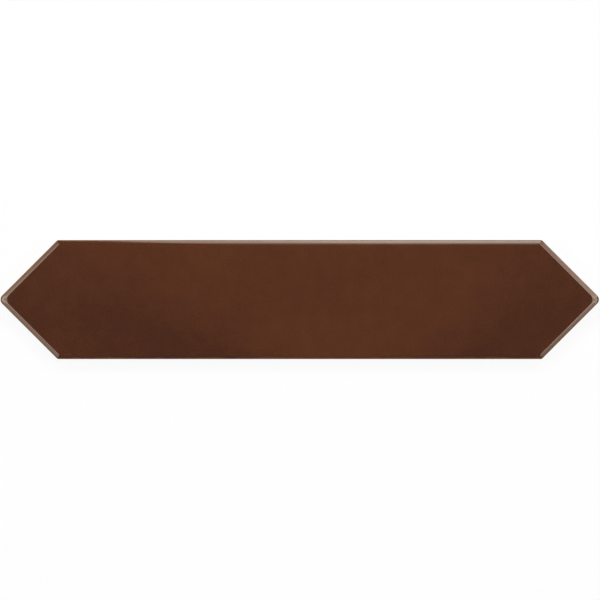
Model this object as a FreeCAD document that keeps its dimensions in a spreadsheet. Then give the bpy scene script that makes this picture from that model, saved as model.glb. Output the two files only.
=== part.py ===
import FreeCAD, Part
import math
import os

import Sketcher
from FreeCAD import Vector

# One pointed wall tile, pressed and fired in one piece. It lies on its back on the XY plane,
# with its length along X and its glazed face up. The origin is at the middle of its back.
# Lengths are millimetres and angles are degrees.
sizes = {
    # outline of the glazed face, a long hexagon
    "tileLength": 250.0,      # over both rounded tips
    "tileWidth": 49.7,        # over both straight sides
    "pointAngle": 90.0,       # between the two slants that meet at a tip
    "tipRadius": 2.4,         # round of each tip
    "shoulderRadius": 2.4,    # round of the four corners where a slant meets a straight side
    # section through the cushioned edge, from the face down to the back
    "tileThickness": 8.0,     # back to glazed face
    "cushionRadius": 2.8,     # round by which the face turns down into the slope
    "slopeAngle": 38.0,       # tilt of the slope, from level
    "slopeLength": 0.1,       # straight part of the slope, between its two rounds
    "noseRadius": 0.3,        # round by which the slope turns down into the land
    "landHeight": 2.0,        # upright part of the side, below the nose
    "skirtTaper": 4.0,        # lean of the rest of the side, in towards the back
    "backChamfer": 0.5,       # broken arris round the back
    # keyed back: hollows that the adhesive fills, between ribs and inside a plain rim
    "rimWidth": 4.5,          # outline of the face to the hollows
    "hollowDepth": 0.7,
    "hollowCorner": 1.2,      # round of the corners that the hollows have along the rim
    "hollowDraft": 30.0,      # lean of the hollows' walls, so that the punch draws out
    "ribWidth": 1.8,          # crest of a rib
    "lengthRibs": 4,          # ribs that run along the tile
    "crossRibs": 9,           # ribs that run across it
}

doc = FreeCAD.newDocument("PointedTile")
sheet = doc.addObject("Spreadsheet::Sheet", "Sizes")
for row, (alias, value) in enumerate(sizes.items(), start=1):
    sheet.set(f"A{row}", alias)
    sheet.set(f"B{row}", str(value))
    sheet.setAlias(f"B{row}", alias)
doc.recompute()

# How a constraint names the ends of a line or arc, an arc's centre, and the sketch's own axis
start, end, centre = 1, 2, 3
xAxis = -1
origin = (-1, 1)


def valueOf(expression):
    """What an expression of the sheet's sizes comes to."""
    return float(sheet.evalExpression(expression))


def originFeature(body, role):
    """The plane or axis of the body's own origin that has this role."""
    return next(item for item in body.Origin.OriginFeatures if item.Role == role)


def addSketch(body, name, plane, lift="0"):
    """An empty sketch on one of the body's own planes, lifted off it by an expression."""
    sketch = body.newObject("Sketcher::SketchObject", name)
    sketch.AttachmentSupport = [(originFeature(body, plane), "")]
    sketch.MapMode = "FlatFace"
    sketch.setExpression("AttachmentOffset.Base.z", lift)
    return sketch


def addFeature(body, kind, name, **bound):
    """A feature of the body whose properties follow expressions."""
    feature = body.newObject(f"PartDesign::{kind}", name)
    for setting, expression in bound.items():
        feature.setExpression(setting, expression)
    return feature


def bind(sketch, name, expression, kind, *where):
    """A constraint of the sketch, named so that its value can follow an expression."""
    value = valueOf(expression)
    if kind == "Angle":
        value = math.radians(value)
    sketch.renameConstraint(sketch.addConstraint(Sketcher.Constraint(kind, *where, value)), name)
    sketch.setExpression(f"Constraints.{name}", expression)


def constrain(sketch, kind, *where):
    """A constraint of the sketch that has no value."""
    sketch.addConstraint(Sketcher.Constraint(kind, *where))


def pointedOutline(body, name, inset, tipRadius, shoulderRadius, lift="0"):
    """A sketch of the tile's outline, moved in by inset, with its six corners rounded.

    An arc of each corner and the side that follows it alternate round the outline,
    anticlockwise: 0 is the right tip's arc, 1 the slant above it, 2 a shoulder's arc,
    3 the top side, and so on to 11, the slant below the right tip.
    """
    slantFacing = "90 - Sizes.pointAngle / 2"
    tipCentre = (
        "Sizes.tileLength / 2 - Sizes.tipRadius"
        f" + (Sizes.tipRadius - {inset} - {tipRadius}) / sin(Sizes.pointAngle / 2)"
    )
    halfWidth = f"Sizes.tileWidth / 2 - {inset}"
    shoulderX = (
        f"{tipCentre} + ({tipRadius} - {shoulderRadius}"
        f" - ({halfWidth} - {shoulderRadius}) * cos(Sizes.pointAngle / 2))"
        " / sin(Sizes.pointAngle / 2)"
    )
    tipX = valueOf(tipCentre)
    cornerX = valueOf(shoulderX)
    cornerY = valueOf(f"{halfWidth} - {shoulderRadius}")
    facing = valueOf(slantFacing)

    sketch = addSketch(body, name, "XY_Plane", lift)
    centres = [(tipX, 0), (cornerX, cornerY), (-cornerX, cornerY),
               (-tipX, 0), (-cornerX, -cornerY), (cornerX, -cornerY)]
    radii = [valueOf(tipRadius), valueOf(shoulderRadius), valueOf(shoulderRadius)] * 2
    turns = [-facing, facing, 90, 180 - facing, 180 + facing, 270, 360 - facing]
    arcs = []
    for (x, y), radius, turnFrom, turnTo in zip(centres, radii, turns, turns[1:]):
        circle = Part.Circle(Vector(x, y, 0), Vector(0, 0, 1), radius)
        arcs.append(Part.ArcOfCircle(circle, math.radians(turnFrom), math.radians(turnTo)))
    for arc, nextArc in zip(arcs, arcs[1:] + arcs[:1]):
        sketch.addGeometry(arc)
        sketch.addGeometry(Part.LineSegment(arc.EndPoint, nextArc.StartPoint))

    for index in range(12):
        constrain(sketch, "Tangent", index, end, (index + 1) % 12, start)
    constrain(sketch, "Equal", 0, 6)
    for shoulder in (4, 8, 10):
        constrain(sketch, "Equal", 2, shoulder)
    for side in (3, 9):
        constrain(sketch, "Horizontal", side)
    for tip in (0, 6):
        constrain(sketch, "PointOnObject", tip, centre, xAxis)
    constrain(sketch, "Parallel", 1, 7)
    constrain(sketch, "Parallel", 11, 5)
    bind(sketch, "tipRound", tipRadius, "Radius", 0)
    bind(sketch, "shoulderRound", shoulderRadius, "Radius", 2)
    bind(sketch, "rightTip", tipCentre, "DistanceX", *origin, 0, centre)
    bind(sketch, "leftTip", tipCentre, "DistanceX", 6, centre, *origin)
    bind(sketch, "topSide", halfWidth, "DistanceY", *origin, 3, start)
    bind(sketch, "bottomSide", halfWidth, "DistanceY", 9, start, *origin)
    bind(sketch, "slantAbove", "180 - Sizes.pointAngle / 2", "Angle", 1)
    bind(sketch, "slantBelow", "Sizes.pointAngle / 2", "Angle", 11)
    return sketch


def ribGaps(body, name, plane, direction, span, count):
    """Cut the gaps that leave ribs between the hollows, evenly over a span.

    A gap is as wide as a rib: its crest at the back, and wider at its root.
    """
    pitch = f"{span} / ({count} + 1)"
    firstGap = f"({count} - 1) / 2 * {pitch}"
    rootWidth = "(Sizes.ribWidth + 2 * Sizes.hollowDepth * tan(Sizes.hollowDraft))"
    crestX = valueOf(f"-({firstGap}) - Sizes.ribWidth / 2")
    rootX = valueOf(f"-({firstGap}) - {rootWidth} / 2")
    root = valueOf("Sizes.hollowDepth")

    sketch = addSketch(body, f"{name}Profile", plane)
    corners = [
        Vector(crestX, 0, 0), Vector(crestX + valueOf("Sizes.ribWidth"), 0, 0),
        Vector(rootX + valueOf(rootWidth), root, 0), Vector(rootX, root, 0),
    ]
    for index, corner in enumerate(corners):
        sketch.addGeometry(Part.LineSegment(corner, corners[(index + 1) % 4]))
    for index in range(4):
        constrain(sketch, "Coincident", index, end, (index + 1) % 4, start)
    constrain(sketch, "Horizontal", 2)
    constrain(sketch, "PointOnObject", 0, start, xAxis)
    constrain(sketch, "PointOnObject", 0, end, xAxis)
    bind(sketch, "crest", "Sizes.ribWidth", "DistanceX", 0, start, 0, end)
    bind(sketch, "root", rootWidth, "DistanceX", 2, end, 2, start)
    bind(sketch, "depth", "Sizes.hollowDepth", "DistanceY", *origin, 2, start)
    bind(sketch, "crestPlace", f"{firstGap} + Sizes.ribWidth / 2", "DistanceX", 0, start, *origin)
    bind(sketch, "rootPlace", f"{firstGap} + {rootWidth} / 2", "DistanceX", 2, end, *origin)

    gap = addFeature(body, "Pocket", name)
    gap.Profile = sketch
    gap.Type = "ThroughAll"
    gap.SideType = "Symmetric"
    doc.recompute()

    gaps = addFeature(body, "LinearPattern", f"{name}s", Occurrences=count, Offset=pitch)
    gaps.Originals = [gap]
    gaps.Direction = (originFeature(body, direction), [""])
    gaps.Mode = "Spacing"
    body.Tip = gaps
    doc.recompute()


def backPunch():
    """The raised pads of the punch that presses the hollows into the tile's back."""
    body = doc.addObject("PartDesign::Body", "BackPunch")
    outline = pointedOutline(
        body, "HollowOutline", "Sizes.rimWidth", "Sizes.hollowCorner", "Sizes.hollowCorner")
    pad = addFeature(body, "Pad", "Pads", Length="Sizes.hollowDepth", TaperAngle="-Sizes.hollowDraft")
    pad.Profile = outline
    doc.recompute()
    ribGaps(body, "LengthGap", "YZ_Plane", "Y_Axis",
            "(Sizes.tileWidth - 2 * Sizes.rimWidth)", "Sizes.lengthRibs")
    ribGaps(body, "CrossGap", "XZ_Plane", "X_Axis",
            "(Sizes.tileLength - Sizes.tileWidth / tan(Sizes.pointAngle / 2))", "Sizes.crossRibs")
    return body


def edgesAt(feature, height):
    """The names of a feature's edges that lie in the level plane at this height."""
    return [
        f"Edge{number}" for number, edge in enumerate(feature.Shape.Edges, start=1)
        if all(abs(vertex.Z - height) < 1e-6 for vertex in edge.Vertexes)
    ]


def picketTile(punch):
    """The tile: a skirt, an upright land and a crown whose edge is cushioned, keyed at the back.

    The crown is drawn with its slope sharp at both ends. The two rounds are then as long as
    they need, because the slope is its straight part and what each round takes of it.
    """
    cushionReach = "Sizes.cushionRadius * tan(Sizes.slopeAngle / 2)"
    noseReach = "Sizes.noseRadius * tan((90 - Sizes.slopeAngle) / 2)"
    crownHeight = (
        f"((Sizes.slopeLength + {cushionReach} + {noseReach}) * sin(Sizes.slopeAngle))")
    landHeight = f"(Sizes.landHeight + {noseReach})"
    crownFoot = f"(Sizes.tileThickness - {crownHeight})"
    landFoot = f"({crownFoot} - {landHeight})"

    body = doc.addObject("PartDesign::Body", "PicketTile")
    body.Label = "picket_tile"
    corners = ("0", "Sizes.tipRadius", "Sizes.shoulderRadius")
    landOutline = pointedOutline(body, "LandOutline", *corners, lift=landFoot)
    crownOutline = pointedOutline(body, "CrownOutline", *corners, lift=crownFoot)

    land = addFeature(body, "Pad", "Land", Length=landHeight)
    land.Profile = landOutline
    skirt = addFeature(body, "Pad", "Skirt", Length=landFoot, TaperAngle="-Sizes.skirtTaper")
    skirt.Profile = landOutline
    skirt.Reversed = True
    crown = addFeature(body, "Pad", "Crown", Length=crownHeight, TaperAngle="Sizes.slopeAngle - 90")
    crown.Profile = crownOutline
    doc.recompute()

    cushion = addFeature(body, "Fillet", "Cushion", Radius="Sizes.cushionRadius")
    cushion.Base = (crown, edgesAt(crown, valueOf("Sizes.tileThickness")))
    doc.recompute()
    nose = addFeature(body, "Fillet", "Nose", Radius="Sizes.noseRadius")
    nose.Base = (cushion, edgesAt(cushion, valueOf(crownFoot)))
    doc.recompute()
    arris = addFeature(body, "Chamfer", "BackArris", Size="Sizes.backChamfer")
    arris.Base = (nose, edgesAt(nose, 0))
    doc.recompute()

    hollows = body.newObject("PartDesign::Boolean", "Hollows")
    hollows.Type = "Cut"
    hollows.setObjects([punch])
    doc.recompute()
    return body


def writeParts(bodies):
    """Stop if anything failed or a body is not one sound solid, then write each as NODE.step."""
    failed = [item.Name for item in doc.Objects if {"Invalid", "Error"} & set(item.State)]
    broken = [
        body.Label for body in bodies
        if body.Shape.isNull() or not body.Shape.isValid() or len(body.Shape.Solids) != 1
    ]
    if failed or broken:
        raise RuntimeError(f"not written: failed {failed}, broken {broken}")
    os.makedirs("parts", exist_ok=True)
    for body in bodies:
        body.Shape.exportStep(f"parts/{body.Label}.step")
        box = body.Shape.optimalBoundingBox(False, False)
        print(body.Label, f"{box.XLength:.2f} x {box.YLength:.2f} x {box.ZLength:.2f} mm,",
              f"{body.Shape.Volume:.0f} mm3")


writeParts([picketTile(backPunch())])
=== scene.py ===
import math

import bpy
import numpy as np
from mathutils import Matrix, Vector


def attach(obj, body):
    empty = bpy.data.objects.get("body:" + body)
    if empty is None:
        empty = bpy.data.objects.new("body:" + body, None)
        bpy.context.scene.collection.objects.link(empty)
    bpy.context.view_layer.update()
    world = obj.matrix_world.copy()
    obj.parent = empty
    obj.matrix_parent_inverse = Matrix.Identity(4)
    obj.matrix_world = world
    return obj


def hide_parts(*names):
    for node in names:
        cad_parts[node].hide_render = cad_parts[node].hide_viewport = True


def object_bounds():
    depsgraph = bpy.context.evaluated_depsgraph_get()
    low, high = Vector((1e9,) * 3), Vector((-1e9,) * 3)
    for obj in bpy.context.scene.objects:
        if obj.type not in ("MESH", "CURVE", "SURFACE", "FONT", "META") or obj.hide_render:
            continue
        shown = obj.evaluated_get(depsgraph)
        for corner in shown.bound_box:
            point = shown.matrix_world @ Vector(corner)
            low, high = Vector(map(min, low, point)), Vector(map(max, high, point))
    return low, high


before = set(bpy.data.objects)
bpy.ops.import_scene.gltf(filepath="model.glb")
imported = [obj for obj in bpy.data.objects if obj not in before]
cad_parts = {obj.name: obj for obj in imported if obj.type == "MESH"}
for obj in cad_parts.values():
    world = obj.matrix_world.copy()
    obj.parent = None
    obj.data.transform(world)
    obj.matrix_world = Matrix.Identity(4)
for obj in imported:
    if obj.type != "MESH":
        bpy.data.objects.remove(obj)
cadLow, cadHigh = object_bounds()          # the CAD box, before anything is added
mm = 0.001


def deg(angle):
    return math.radians(angle)


# The tile. It lies on its back with its length along X, and the pointed ends are at -X and +X.
tile = {
    "length": cadHigh.x - cadLow.x,
    "width": cadHigh.y - cadLow.y,
    "thickness": cadHigh.z - cadLow.z,
    "pointAngle": 90,                  # degrees, between the two slants of an end
    "tipRadius": 2.4 * mm,             # seen from above
    "tipSoften": 2.6 * mm,             # how much rounder the tips are where the cushion meets the face
    "tipFade": 1.5,                    # the power with which that dies away down the cushion
    "shoulderRadius": 1.0 * mm,        # where a slant meets a straight side
    "leastRadius": 0.12 * mm,          # what stays of that further in
    "cushionRadius": 2.8 * mm,         # the soft shoulder between the face and the slope of the edge
    "slopeAngle": 38,                  # degrees, how far the edge tips over before it turns down
    "slopeLength": 0.1 * mm,
    "noseRadius": 0.3 * mm,
    "landHeight": 2.0 * mm,            # the upright part of the side
    "skirtTaper": 4,                   # degrees, lean of the rest of the side
    "backChamfer": 0.5 * mm,           # broken arris round the back
    "rimWidth": 4.5 * mm,              # outline to the hollows of the back
    "hollowDepth": 0.7 * mm,
    "hollowCorner": 1.2 * mm,
    "hollowDraft": 30,                 # degrees, lean of the hollows' walls
    "ribWidth": 1.8 * mm,
    "lengthRibs": 4,                   # ribs that run along the tile
    "crossRibs": 9,                    # ribs that run across it
    "glazeLine": 5.75 * mm,            # height of the glaze's lower edge on the land
    "glazeWander": 0.28 * mm,          # how far it wanders up and down
    "glazeCoat": 0.11 * mm,            # the biscuit below it stands back by this much
    "cushionGlaze": (1.0, 0.45),       # depth of the glaze down the cushion, where the face's is 1
    "noseGlaze": (0.4, 0.1),           # and down the nose
}

# How fine the tile's grid is, and where its lines run.
grid = {
    "tip": 7,                          # points round half a tip
    "shoulder": 6,                     # round a shoulder
    "cushion": 10,                     # down the cushion
    "nose": 8,                         # and down the nose
    "besideTip": np.array([0.35, 0.7]) * mm,                    # a slant's stops beside the tip
    "overRim": np.array([0.8, 1.6, 2.4]) * mm,                  # and over the back's long rim
    "leastClimb": 1.0 * mm,            # a stop for a line of the back is at least this far up a slant
    "slantRim": np.array([0, 0.2, 0.5, 0.9, 1.4, 2.2]) * mm,    # columns beside a slant, from its outline
    "wall": np.array([0, 0.25, 0.5, 0.75, 1, 1.7]),             # lines down a hollow's wall, in runs of it
    "floor": np.array([0.37, 0.5, 0.63]),                       # lines of its floor, in gaps between ribs
    "end": np.array([0.25, 0.5, 0.75]),                         # columns from the ribs' lines to a slant's
}


def gridQuads(index, upward):
    # Corners of every cell of a grid of vertex numbers, counter-clockwise seen from above or from below.
    corners = [index[:-1, :-1], index[:-1, 1:], index[1:, 1:], index[1:, :-1]]
    if not upward:
        corners.reverse()
    return np.stack(corners, axis=-1).reshape(-1, 4)


def stripQuads(upper, lower):
    # Quads between two closed loops of vertex numbers that run counter-clockwise, one below the other.
    return np.stack([upper, lower, np.roll(lower, -1), np.roll(upper, -1)], axis=-1)


def walkRound(plan):
    # The border of a grid as one closed loop: front row, right end, back row, left end.
    return np.concatenate([plan[0, :-1], plan[:-1, -1], plan[-1, :0:-1], plan[:0:-1, 0]])


def distinct(*lines):
    # All the lines sorted, with those that agree to 0.1 micrometre taken as one.
    return np.unique(np.round(np.concatenate(lines), 7))


def ribPlaces(pitch, count):
    # Places of that many ribs, evenly spread about the tile's middle.
    return pitch * (np.arange(count) - (count - 1) / 2)


def floorLines(start, end):
    # Lines that share the floor of a hollow between two places.
    return start + (end - start) * grid["floor"]


def ribLines(ribs):
    # Grid lines for hollows between ribs: each rib's middle, the steps from its two edges down its walls, and
    # the lines of each floor.
    walls = tile["ribWidth"] / 2 + wallSteps
    floors = floorLines(ribs[:-1, None], ribs[1:, None])
    return distinct((ribs[:, None] + walls).ravel(), (ribs[:, None] - walls).ravel(), ribs, floors.ravel())


halfPoint = deg(tile["pointAngle"] / 2)
slantNormal = np.array([math.sin(halfPoint), math.cos(halfPoint)])     # of the slant at +X, +Y
tipX = tile["length"] / 2 - tile["tipRadius"]                          # centre of the tip's arc
slantReach = tipX * slantNormal[0] + tile["tipRadius"]                 # origin to slant

slope, taper = deg(tile["slopeAngle"]), deg(tile["skirtTaper"])
slopeInset = tile["noseRadius"] * (1 - math.sin(slope)) + tile["slopeLength"] * math.cos(slope)
cushionInset = slopeInset + tile["cushionRadius"] * math.sin(slope)    # where the cushion meets the face
cushionFoot = tile["thickness"] - tile["cushionRadius"] * (1 - math.cos(slope))
landTop = cushionFoot - tile["slopeLength"] * math.sin(slope) - tile["noseRadius"] * math.cos(slope)
landFoot = landTop - tile["landHeight"]
skirtFoot = tile["backChamfer"] * math.cos(taper)                      # height at which the arris is broken
skirtInset = (landFoot - skirtFoot) * math.tan(taper)
backInset = landFoot * math.tan(taper) + tile["backChamfer"]           # where the broken arris meets the back

halfHollows = tile["width"] / 2 - tile["rimWidth"]                     # middle of the tile to the long rim
lengthRibs = ribPlaces(2 * halfHollows / (tile["lengthRibs"] + 1), tile["lengthRibs"])
crossRibs = ribPlaces((tile["length"] - tile["width"]) / (tile["crossRibs"] + 1), tile["crossRibs"])
wallRun = 1.5 * tile["hollowDepth"] * math.tan(deg(tile["hollowDraft"]))   # an S curve leans 1.5 times as far
wallSteps = grid["wall"] * wallRun


def slantStops():
    # Where a slant's points stand: two beside the tip, then one for each line of the back, as heights above
    # the tip's centre of points that lie one tip radius inside the slant.
    lines = distinct(ribLines(lengthRibs), floorLines(lengthRibs[-1], halfHollows),
                     halfHollows - wallSteps, halfHollows + grid["overRim"])
    climb = lines - (tile["tipRadius"] - backInset) * slantNormal[1]
    return np.concatenate([grid["besideTip"], climb[climb > grid["leastClimb"]]])


slantAngle = math.pi / 2 - halfPoint
tipTurn = np.linspace(0, slantAngle, grid["tip"])
shoulderTurn = np.linspace(slantAngle, math.pi / 2, grid["shoulder"])
slantClimb = slantStops()


def endOutline(inset, soften):
    # x and y of an end's outline set in by that much, from the lower shoulder round the tip to the upper one:
    # the tip's arc, the slant's stops moved along its normal, and the shoulder's arc. Where soften isn't 0,
    # the tip is held inside an arc whose radius is larger by that much and that touches both slants.
    reach = tile["tipRadius"] - inset
    tipArc = tipX + reach * np.cos(tipTurn), reach * np.sin(tipTurn)
    stops = (tipX - slantClimb / math.tan(halfPoint) + reach * slantNormal[0],
             slantClimb + reach * slantNormal[1])
    radius = max(tile["shoulderRadius"] - inset, tile["leastRadius"])
    centreY = tile["width"] / 2 - inset - radius
    centreX = (slantReach - inset - radius - centreY * slantNormal[1]) / slantNormal[0]
    shoulderArc = centreX + radius * np.cos(shoulderTurn), centreY + radius * np.sin(shoulderTurn)
    x, y = np.concatenate([tipArc, stops, shoulderArc], axis=1)
    softRadius = reach + soften
    softCentre = (slantReach - inset - softRadius) / slantNormal[0]
    softX = softCentre + np.sqrt(np.clip(softRadius ** 2 - y ** 2, 0, None))
    x = np.where(y < softRadius * slantNormal[1], np.minimum(x, softX), x)
    return np.concatenate([x[:0:-1], x]), np.concatenate([-y[:0:-1], y])


middleX = ribLines(crossRibs)
slantLines = np.append(grid["slantRim"], (tile["rimWidth"] - backInset + wallSteps) / slantNormal[0])


def planGrid(inset, soften=0.0):
    # x and y of the whole grid when its border is the outline set in by that much. Middle columns stand on
    # the cross ribs' lines, end columns follow the slants at a fixed distance, and a few share the gap.
    endX, endY = endOutline(inset, soften)
    slants = endX[:, None] - slantLines[::-1]
    between = middleX[-1] + (slants[:, :1] - middleX[-1]) * grid["end"]
    middle = np.broadcast_to(middleX, (len(endX), len(middleX)))
    x = np.hstack([-slants[:, ::-1], -between[:, ::-1], middle, between, slants])
    return x, np.broadcast_to(endY[:, None], x.shape)


def backRelief(x, y):
    # Depth of the keyed back: distances inside the nearest walls (ribs, long rims, slanted rims), joined
    # with rounded corners, then an S curve from the rib's level to the hollow's floor over the wall's run.
    insideRows = abs(y[..., None] - lengthRibs).min(-1) - tile["ribWidth"] / 2
    insideColumns = abs(x[..., None] - crossRibs).min(-1) - tile["ribWidth"] / 2
    insideSlants = [slantReach - tile["rimWidth"] - abs(x) * slantNormal[0] - side * y * slantNormal[1]
                    for side in (-1, 1)]
    walls = [np.minimum(insideRows, halfHollows - abs(y)), insideColumns, *insideSlants]
    short = [np.clip(tile["hollowCorner"] - wall, 0, None) for wall in walls]
    inside = tile["hollowCorner"] - np.sqrt(sum(part ** 2 for part in short))
    share = np.clip(inside / wallRun, 0, 1)
    return tile["hollowDepth"] * share ** 2 * (3 - 2 * share)


def edgeSection():
    # The edge's rings from the face down to the back, and how much each softens the tips. The cushion and
    # the nose are arcs over the tilt, and the softening dies away from the face to the slope. A row of the
    # section is a ring's inset and height, its share of the glaze line's wander, the depth of the glaze
    # there, and 1 where the strip below it is biscuit.
    tilts = np.linspace(0, slope, grid["cushion"])[1:]
    cushion = (cushionInset - tile["cushionRadius"] * np.sin(tilts),
               tile["thickness"] - tile["cushionRadius"] * (1 - np.cos(tilts)),
               0.0, np.linspace(*tile["cushionGlaze"], len(tilts)), 0.0)
    noseTilts = np.linspace(slope, math.pi / 2, grid["nose"])
    nose = (tile["noseRadius"] * (1 - np.sin(noseTilts)), landTop + tile["noseRadius"] * np.cos(noseTilts),
            0.0, np.linspace(*tile["noseGlaze"], len(noseTilts)), 0.0)
    coat, line = tile["glazeCoat"], tile["glazeLine"]
    below = [
        [0.25 * coat, landTop - 0.25 * mm, 0.0, 0.45, 0],          # glaze
        [0.45 * coat, line + 0.55 * mm, 0.7, 0.7, 0],
        [0.15 * coat, line + 0.30 * mm, 1.0, 0.9, 0],              # its rounded bead at the glaze line
        [0.00 * coat, line + 0.14 * mm, 1.0, 1.0, 0],
        [0.20 * coat, line + 0.05 * mm, 1.0, 1.0, 0],
        [0.65 * coat, line + 0.01 * mm, 1.0, 0.8, 0],
        [1.05 * coat, line, 1.0, 0.3, 1],                          # biscuit
        [1.05 * coat, line - 0.10 * mm, 1.0, 0.0, 1],
        [1.00 * coat, landFoot + 0.05 * mm, 0.0, 0.0, 1],
        [1.10 * coat, landFoot - 0.20 * mm, 0.0, 0.0, 1],          # skirt
        [skirtInset, skirtFoot + 0.15 * mm, 0.0, 0.0, 1],
        [skirtInset + 0.03 * mm, skirtFoot, 0.0, 0.0, 1],          # broken arris
        [skirtInset + 0.10 * mm, skirtFoot - 0.07 * mm, 0.0, 0.0, 1],
        [backInset - 0.10 * mm, 0.06 * mm, 0.0, 0.0, 1],
    ]
    arcs = [np.stack(np.broadcast_arrays(*part), axis=-1) for part in (cushion, nose)]
    section = np.concatenate([*arcs, below])
    soften = np.zeros(len(section))
    soften[:len(tilts)] = tile["tipSoften"] * (1 - np.sin(tilts) / math.sin(slope)) ** tile["tipFade"]
    return section, soften


def waveRound(loopX, loopY):
    # A wander between about -1 and 1 round a closed loop: sines of whole numbers of waves, so it joins up.
    # Each has its number of waves, the angle that it starts at and its size.
    steps = np.hypot(np.diff(loopX, append=loopX[0]), np.diff(loopY, append=loopY[0]))
    turn = 2 * math.pi * np.concatenate([[0], np.cumsum(steps)[:-1]]) / steps.sum()
    waves = [(3, 0.4, 0.30), (7, 2.1, 0.26), (13, 0.9, 0.20), (29, 4.0, 0.14), (61, 1.3, 0.10)]
    return sum(size * np.sin(count * turn + start) for count, start, size in waves)


def addObject(name, data):
    made = bpy.data.objects.new(name, data)
    bpy.context.scene.collection.objects.link(made)
    return made


def newMesh(name, points, quads, materials):
    mesh = bpy.data.meshes.new(name)
    mesh.from_pydata(points.tolist(), [], quads.tolist())
    for material in materials:
        mesh.materials.append(material)
    return mesh


def buildTile(materials):
    # One closed mesh: the face's grid, the rings of the edge and the back's grid, with strips of quads from
    # one loop to the next. A ring is the border of the grid at its inset, at its height plus its wander.
    section, soften = edgeSection()
    insets, heights, wander, depths, bare = section.T
    faceX, faceY = planGrid(cushionInset, tile["tipSoften"])
    backX, backY = planGrid(backInset)
    rings = [np.stack([walkRound(part) for part in planGrid(*ring)], axis=-1) for ring in zip(insets, soften)]
    wave = waveRound(*rings[-1].T) * tile["glazeWander"]
    ringPoints = [np.column_stack([ring, height + share * wave])
                  for ring, height, share in zip(rings, heights, wander)]
    facePoints = np.stack([faceX, faceY, np.full(faceX.shape, tile["thickness"])], axis=-1).reshape(-1, 3)
    backPoints = np.stack([backX, backY, backRelief(backX, backY)], axis=-1).reshape(-1, 3)
    points = np.concatenate([facePoints, *ringPoints, backPoints])

    around = len(rings[0])
    faceIndex = np.arange(faceX.size).reshape(faceX.shape)
    backIndex = faceIndex + len(points) - faceX.size
    ringIndex = faceX.size + np.arange(len(rings) * around).reshape(-1, around)
    loops = [walkRound(faceIndex), *ringIndex, walkRound(backIndex)]
    strips = [stripQuads(upper, lower) for upper, lower in zip(loops, loops[1:])]
    faceQuads, backQuads = gridQuads(faceIndex, True), gridQuads(backIndex, False)
    quads = np.concatenate([faceQuads, *strips, backQuads])
    stripSkins = np.repeat(np.append(0, bare), around)             # 0 is glaze, 1 is biscuit
    skins = np.concatenate([np.zeros(len(faceQuads)), stripSkins, np.ones(len(backQuads))]).astype(int)
    glazeDepth = np.concatenate([np.ones(faceX.size), np.repeat(depths, around), np.zeros(faceX.size)])

    mesh = newMesh("glazedTile", points, quads, materials)
    mesh.polygons.foreach_set("material_index", skins)
    mesh.attributes.new("glazeDepth", "FLOAT", "POINT").data.foreach_set("value", glazeDepth)
    mesh.shade_smooth()
    mesh.update()
    print("tile:", len(points), "points,", len(quads), "quads")
    return addObject("glazed_tile", mesh)


def linear(code):
    # sRGB hex to linear, with alpha 1: divided by 12.92 near black, and otherwise a power of 2.4.
    parts = [int(code[at:at + 2], 16) / 255 for at in (0, 2, 4)]
    return [part / 12.92 if part <= 0.04045 else ((part + 0.055) / 1.055) ** 2.4 for part in parts] + [1.0]


def addNode(tree, kind, inputs=None, **settings):
    # One node with its settings, and a value or a link for each input that is given by number or identifier.
    node = tree.nodes.new("ShaderNode" + kind)
    for name, value in settings.items():
        setattr(node, name, value)
    sockets = {socket.identifier: socket for socket in node.inputs}
    for key, value in (inputs or {}).items():
        socket = node.inputs[key] if isinstance(key, int) else sockets[key]
        if isinstance(value, bpy.types.NodeSocket):
            tree.links.new(value, socket)
        else:
            socket.default_value = value
    return node


def newMaterial(name):
    material = bpy.data.materials.new(name)
    material.use_nodes = True
    material.node_tree.nodes.clear()
    return material, material.node_tree


glaze = {
    "deep": "472312",                  # darker tone, towards the ends and the front corners
    "light": "5a3018",                 # lighter tone, in a wedge that widens to the back
    "amber": "9c6a44",                 # where it breaks over the edge
    "roughness": 0.07,
    "ior": 1.55,
    "wedgeMiddle": (7 * mm, -0.35),    # its middle line: x at y = 0, and how x changes with y
    "wedgeHalf": (70 * mm, 1.65),      # its half width: at y = 0, and how it changes with y
    "wedgeFade": (1.7, 0.3),           # it fades in from the first to the second, in half widths
    "wedgeTone": (-0.98, -0.37),       # tone outside it and inside it: with the noises 0 is deep, 1 is light
    "cloud": (42 * mm, 2.0),           # each noise: its size and its detail
    "mottle": (6 * mm, 3.0),
    "speck": (0.9 * mm, 1.0),
    "wave": (38 * mm, 1.0),            # slow waves in the glaze, which bend reflections
    "peel": (2.6 * mm, 1.0),           # orange peel
    "toneShares": (0.7, 0.7, 0.8),     # what cloud, mottle and speck add to the tone
    "thinMottle": 0.5,                 # what the mottle adds to the glaze's depth
    "thinRange": (1.0, 0.03),          # at the first depth the amber sets in, at the second it is full
    "waveHeight": 0.03 * mm,
    "peelHeight": 0.002 * mm,
}


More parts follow.
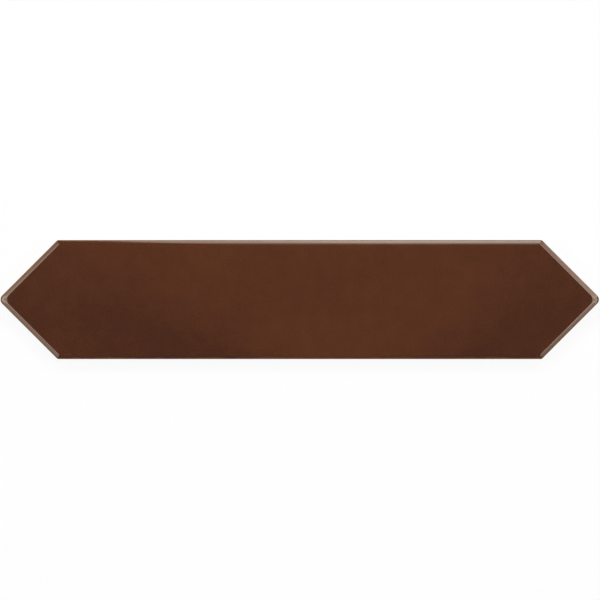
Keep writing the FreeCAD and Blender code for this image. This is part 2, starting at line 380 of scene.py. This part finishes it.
def glossyBrownGlaze():
    # Poured brown glaze fired to a clear gloss: a glassy coat, deep brown where it is thick, amber where it
    # is stretched thin over the edge, faintly cloudy and mottled, darker towards the ends and the front
    # corners and lighter in a wedge that widens to the back, with slow waves in its surface.
    material, tree = newMaterial("glossy_brown_glaze")
    place = addNode(tree, "TexCoord").outputs["Object"]
    cloud, mottle, speck, wave, peel = (
        addNode(tree, "TexNoise", {"Vector": place, "Scale": 1 / size, "Detail": detail}).outputs[0]
        for size, detail in (glaze[name] for name in ("cloud", "mottle", "speck", "wave", "peel")))

    # Tone: how far aside of the wedge's middle line, in half widths there, and then the noises.
    across = addNode(tree, "SeparateXYZ", {0: place}).outputs
    middle, half = (
        addNode(tree, "Math", {0: across["Y"], 1: change, 2: start}, operation="MULTIPLY_ADD").outputs[0]
        for start, change in (glaze["wedgeMiddle"], glaze["wedgeHalf"]))
    aside = addNode(tree, "Math", {0: across["X"], 1: middle}, operation="SUBTRACT").outputs[0]
    aside = addNode(tree, "Math", {0: aside, 1: half}, operation="DIVIDE").outputs[0]
    aside = addNode(tree, "Math", {0: aside}, operation="ABSOLUTE").outputs[0]
    (outside, inside), (outTone, inTone) = glaze["wedgeFade"], glaze["wedgeTone"]
    tone = addNode(tree, "MapRange", {"Value": aside, "From Min": outside, "From Max": inside,
                                      "To Min": outTone, "To Max": inTone},
                   interpolation_type="SMOOTHSTEP").outputs[0]
    for noise, weight in zip((cloud, mottle, speck), glaze["toneShares"]):
        tone = addNode(tree, "Math", {0: noise, 1: weight, 2: tone}, operation="MULTIPLY_ADD").outputs[0]
    share = addNode(tree, "MapRange", {"Value": tone}).outputs[0]
    body = addNode(tree, "Mix", {"Factor_Float": share, "A_Color": linear(glaze["deep"]),
                                 "B_Color": linear(glaze["light"])}, data_type="RGBA").outputs[2]

    # Amber where the coat's depth, made uneven by the mottle, is small.
    depth = addNode(tree, "Attribute", attribute_name="glazeDepth").outputs["Fac"]
    uneven = addNode(tree, "Math", {0: mottle, 1: glaze["thinMottle"], 2: depth},
                     operation="MULTIPLY_ADD").outputs[0]
    thick, bare = glaze["thinRange"]
    thin = addNode(tree, "MapRange", {"Value": uneven, "From Min": thick, "From Max": bare}).outputs[0]
    colour = addNode(tree, "Mix", {"Factor_Float": thin, "A_Color": body, "B_Color": linear(glaze["amber"])},
                     data_type="RGBA").outputs[2]

    slow = addNode(tree, "Bump", {"Height": wave, "Distance": glaze["waveHeight"],
                                  "Strength": 1.0}).outputs[0]
    fine = addNode(tree, "Bump", {"Height": peel, "Distance": glaze["peelHeight"], "Strength": 1.0,
                                  "Normal": slow}).outputs[0]
    skin = addNode(tree, "BsdfPrincipled", {"Base Color": colour, "Roughness": glaze["roughness"],
                                            "IOR": glaze["ior"], "Normal": fine}).outputs[0]
    addNode(tree, "OutputMaterial", {"Surface": skin})
    return material


biscuit = {
    "clay": "dcd1bd",
    "shade": "cbbca3",
    "dust": "ece6da",                  # kiln wash left on whatever stood on the rollers
    "fleck": "8d6f52",                 # iron specks
    "roughness": 0.9,
    "ior": 1.5,
    "patch": (26 * mm, 3.0),           # each noise: its size and its detail
    "grain": (0.7 * mm, 4.0),
    "grainShare": 0.35,                # what the grain adds to the tone
    "toneRange": (0.45, 0.9),          # the tones that are all shade and all clay
    "washHeight": 0.25 * mm,           # the wash ends this far above the lowest surface
    "fleckGap": 5 * mm,
    "fleckRange": (0.10, 0.05),        # a speck's rim and its core, in gaps from its middle
    "fleckDepth": 0.8,                 # how much of a speck's core is iron
    "grainHeight": 0.05 * mm,
    "grainStrength": 0.6,
}


def pressedBiscuit():
    # Dust-pressed, fired clay: dry, dull and pale, with fine grain, a few iron specks, and white kiln wash on
    # the ribs and rim that stood on the rollers.
    material, tree = newMaterial("pressed_biscuit")
    place = addNode(tree, "TexCoord").outputs["Object"]
    patch, grain = (
        addNode(tree, "TexNoise", {"Vector": place, "Scale": 1 / size, "Detail": detail}).outputs[0]
        for size, detail in (biscuit["patch"], biscuit["grain"]))
    fleck = addNode(tree, "TexVoronoi", {"Vector": place, "Scale": 1 / biscuit["fleckGap"]}).outputs[0]

    tone = addNode(tree, "Math", {0: grain, 1: biscuit["grainShare"], 2: patch},
                   operation="MULTIPLY_ADD").outputs[0]
    allShade, allClay = biscuit["toneRange"]
    share = addNode(tree, "MapRange", {"Value": tone, "From Min": allShade, "From Max": allClay}).outputs[0]
    clay = addNode(tree, "Mix", {"Factor_Float": share, "A_Color": linear(biscuit["shade"]),
                                 "B_Color": linear(biscuit["clay"])}, data_type="RGBA").outputs[2]

    height = addNode(tree, "SeparateXYZ", {0: place}).outputs["Z"]
    touch = addNode(tree, "MapRange", {"Value": height, "From Min": biscuit["washHeight"],
                                       "From Max": 0.0}).outputs[0]
    washed = addNode(tree, "Math", {0: touch, 1: patch}, operation="MULTIPLY").outputs[0]
    wash = addNode(tree, "Mix", {"Factor_Float": washed, "A_Color": clay, "B_Color": linear(biscuit["dust"])},
                   data_type="RGBA").outputs[2]

    rim, core = biscuit["fleckRange"]
    speck = addNode(tree, "MapRange", {"Value": fleck, "From Min": rim, "From Max": core,
                                       "To Max": biscuit["fleckDepth"]}).outputs[0]
    colour = addNode(tree, "Mix", {"Factor_Float": speck, "A_Color": wash,
                                   "B_Color": linear(biscuit["fleck"])}, data_type="RGBA").outputs[2]

    bump = addNode(tree, "Bump", {"Height": grain, "Distance": biscuit["grainHeight"],
                                  "Strength": biscuit["grainStrength"]}).outputs[0]
    skin = addNode(tree, "BsdfPrincipled", {"Base Color": colour, "Roughness": biscuit["roughness"],
                                            "IOR": biscuit["ior"], "Normal": bump}).outputs[0]
    addNode(tree, "OutputMaterial", {"Surface": skin})
    return material


tilePiece = buildTile([glossyBrownGlaze(), pressedBiscuit()])
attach(tilePiece, "root")
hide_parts("picket_tile")
print("materials: glaze and biscuit")


white = (1.0, 1.0, 1.0, 1.0)
ground = {
    "reach": 30.0,                     # half its side
    "colour": "f8f8f8",
    "whiteShare": 0.9,                 # how much of what is seen is plain white, the rest is lit floor
}


def layFloor():
    # Pale studio floor. Camera, glossy and transmission rays see mostly plain white, and the tile's shadow.
    material, tree = newMaterial("pale_floor")
    path = addNode(tree, "LightPath").outputs
    seen = addNode(tree, "Math", {0: path["Is Camera Ray"], 1: path["Is Glossy Ray"]},
                   operation="ADD").outputs[0]
    seen = addNode(tree, "Math", {0: seen, 1: path["Is Transmission Ray"]}, operation="ADD",
                   use_clamp=True).outputs[0]
    share = addNode(tree, "Math", {0: seen, 1: ground["whiteShare"]}, operation="MULTIPLY").outputs[0]
    lit = addNode(tree, "BsdfDiffuse", {"Color": linear(ground["colour"])}).outputs[0]
    plain = addNode(tree, "Emission", {"Color": white, "Strength": 1.0}).outputs[0]
    skin = addNode(tree, "MixShader", {0: share, 1: lit, 2: plain}).outputs[0]
    addNode(tree, "OutputMaterial", {"Surface": skin})
    side = np.array([-1.0, 1.0]) * ground["reach"]
    x, y = np.meshgrid(side, side)
    points = np.stack([x, y, np.full(x.shape, cadLow.z)], axis=-1).reshape(-1, 3)
    quads = gridQuads(np.arange(4).reshape(2, 2), True)
    addObject("floor", newMesh("floor", points, quads, [material]))


layFloor()

# Soft boxes light the tile from its ends and from the back. They don't show in its gloss.
softBoxes = {
    "distance": 1.6,                   # metres from the tile
    "size": 0.5,
    "glow": 9.5,                       # radiance
    "directions": {                    # azimuth and elevation in degrees
        "right_box": (3, 48),
        "back_right_box": (60, 50),
        "back_left_box": (120, 50),
        "left_box": (177, 48),
    },
}

# Warm strips show only in the gloss: one for the back edge, one for each slant and one for each tip. Each
# leans from its low end up over the tile. Shapes are in metres at +X, +Y, and a strip's flip turns the signs
# of x and y. The ramps are (place, share of the glow) from low to high and across.
stripShapes = {
    "back": {"low": (0.03, 0.80, 0.17), "high": (0.12, 0.085, 1.15), "width": 0.35},
    "slant": {"low": (0.88, 0.57, 0.19), "high": (0.27, 0.10, 1.15), "width": 0.26},
    "tip": {"low": (1.03, 0.0, 0.42), "high": (0.27, 0.0, 1.16), "width": 0.5},
}
level = [(0.0, 1.0), (1.0, 1.0)]
dimShoulder = [(0.0, 0.4), (0.24, 0.6), (0.38, 1.0), (1.0, 1.0)]
strips = [
    {"name": "back_strip", "shape": "back", "flip": (1, 1, 1), "glow": 8.0, "tint": (1, 0.93, 0.78),
     "up": [(0.0, 0.2), (0.15, 0.38), (0.28, 1.0), (0.5, 0.53), (0.7, 0.26), (0.88, 0.13), (1.0, 0.06)],
     "across": [(0.0, 0.85), (0.3, 1.0), (0.6, 1.0), (0.74, 0.75), (0.94, 0.58), (1.0, 0.0)]},
    {"name": "left_back_strip", "shape": "slant", "flip": (-1, 1, 1), "glow": 3.7, "tint": (1, 0.83, 0.64),
     "up": [(0.0, 0.4), (0.17, 0.62), (0.28, 0.85), (0.42, 1.0), (0.55, 1.0), (0.68, 0.74), (1.0, 0.52)],
     "across": dimShoulder},
    {"name": "right_back_strip", "shape": "slant", "flip": (1, 1, 1), "glow": 6.1, "tint": (1, 0.84, 0.68),
     "up": [(0.0, 0.8), (0.2, 1.0), (0.3, 1.0), (0.42, 0.92), (0.55, 0.77), (0.7, 0.5), (1.0, 0.4)],
     "across": [(0.0, 1.0), (0.62, 1.0), (0.76, 0.6), (1.0, 0.4)]},
    {"name": "left_front_strip", "shape": "slant", "flip": (-1, -1, 1), "glow": 2.9, "tint": (1, 0.84, 0.66),
     "up": [(0.0, 0.3), (0.17, 0.42), (0.28, 0.78), (0.42, 0.9), (0.55, 1.0), (0.68, 0.7), (1.0, 0.38)],
     "across": level},
    {"name": "right_front_strip", "shape": "slant", "flip": (1, -1, 1), "glow": 3.4, "tint": (1, 0.81, 0.64),
     "up": [(0.0, 0.8), (0.2, 1.0), (0.3, 1.0), (0.42, 0.85), (0.55, 0.95), (0.68, 0.8), (1.0, 0.57)],
     "across": dimShoulder},
    {"name": "left_tip_strip", "shape": "tip", "flip": (-1, 1, 1), "glow": 7.0, "tint": (1, 0.87, 0.71),
     "up": [(0.0, 0.3), (0.2, 0.42), (0.35, 0.75), (0.5, 1.0), (0.62, 0.75), (0.75, 0.48), (1.0, 0.37)],
     "across": level},
    {"name": "right_tip_strip", "shape": "tip", "flip": (1, 1, 1), "glow": 6.1, "tint": (1, 0.88, 0.74),
     "up": [(0.0, 0.2), (0.28, 0.3), (0.42, 0.75), (0.55, 1.0), (0.7, 0.7), (0.85, 0.45), (1.0, 0.36)],
     "across": level},
]


def addLamp(name, place, aim, width, length, glow):
    # An area lamp that the camera doesn't see, with its width level. Its glow is its radiance, so its energy
    # is pi times that for each square metre.
    lamp = bpy.data.lights.new(name, "AREA")
    lamp.shape = "RECTANGLE"
    lamp.size, lamp.size_y = width, length
    lamp.energy = glow * math.pi * width * length
    made = addObject(name, lamp)
    made.location = place
    made.rotation_euler = (aim - place).to_track_quat("-Z", "Y").to_euler()
    made.visible_camera = False
    return made


def shadeStrip(strip, lamp):
    # Its glow in its tint, times the shares that its two ramps give, one up it and one across it.
    lamp.use_nodes = True
    tree = lamp.node_tree
    tree.nodes.clear()
    place = addNode(tree, "NewGeometry").outputs["Parametric"]
    place = addNode(tree, "SeparateXYZ", {0: place}).outputs
    shares = []
    for axis, stops in (("Y", strip["up"]), ("X", strip["across"])):
        ramp = addNode(tree, "ValToRGB", {0: place[axis]})
        elements = ramp.color_ramp.elements
        elements[0].position, elements[1].position = stops[0][0], stops[-1][0]
        for at, share in stops[1:-1]:
            elements.new(at)
        for element, (at, share) in zip(elements, stops):
            element.color = (share, share, share, 1.0)
        shares.append(ramp.outputs[0])
    share = addNode(tree, "Math", dict(enumerate(shares)), operation="MULTIPLY").outputs[0]
    shine = addNode(tree, "Emission", {"Color": (*strip["tint"], 1.0), "Strength": share}).outputs[0]
    addNode(tree, "OutputLight", {"Surface": shine})


for name, (azimuth, elevation) in softBoxes["directions"].items():
    around, above, size = deg(azimuth), deg(elevation), softBoxes["size"]
    out, up = math.cos(above), math.sin(above)
    place = Vector((math.cos(around) * out, math.sin(around) * out, up)) * softBoxes["distance"]
    made = addLamp(name, place, Vector((0, 0, 0)), size, size, softBoxes["glow"])
    made.visible_glossy = False
for strip in strips:
    shape = stripShapes[strip["shape"]]
    low, high = (Vector(shape[end]) * Vector(strip["flip"]) for end in ("low", "high"))
    middle, climb = (low + high) / 2, high - low
    facing = Vector((0, 0, 1)).cross(climb).cross(climb)
    made = addLamp(strip["name"], middle, middle + facing, shape["width"], climb.length, strip["glow"])
    made.visible_diffuse = False
    shadeStrip(strip, made.data)

worldGlow = 0.15
world = bpy.data.worlds.new("studio")
world.use_nodes = True
world.node_tree.nodes.clear()
sky = addNode(world.node_tree, "Background", {"Color": white, "Strength": worldGlow}).outputs[0]
addNode(world.node_tree, "OutputWorld", {"Surface": sky})
bpy.context.scene.world = world
print("lights:", len(softBoxes["directions"]), "soft boxes and", len(strips), "strips")

# The camera looks straight down. In the 600 by 600 photograph the tile spans tileSpan pixels and is centred
# on tileCentre, counted from the top left corner.
shot = {
    "frameSide": 600,
    "tileSpan": 598.5,
    "tileCentre": (299.7, 299.57),
    "outlineHeight": 7.0 * mm,         # where the edge reaches furthest out
    "lens": 200.0,                     # in millimetres, as the sensor is
    "sensor": 36.0,
}


def addCamera():
    # It stands so far above the outline that a pixel there is the tile's length over tileSpan, and as far off
    # the tile's middle as tileCentre is off the frame's.
    lens = bpy.data.cameras.new("camera")
    lens.lens = shot["lens"]
    lens.sensor_width = shot["sensor"]
    pixel = tile["length"] / shot["tileSpan"]
    distance = pixel * shot["frameSide"] * shot["lens"] / shot["sensor"]
    made = addObject("camera", lens)
    made.location = ((shot["frameSide"] / 2 - shot["tileCentre"][0]) * pixel,
                     (shot["tileCentre"][1] - shot["frameSide"] / 2) * pixel,
                     shot["outlineHeight"] + distance)
    bpy.context.scene.camera = made


addCamera()
bpy.context.scene.view_settings.view_transform = "Standard"
print("camera: straight above")
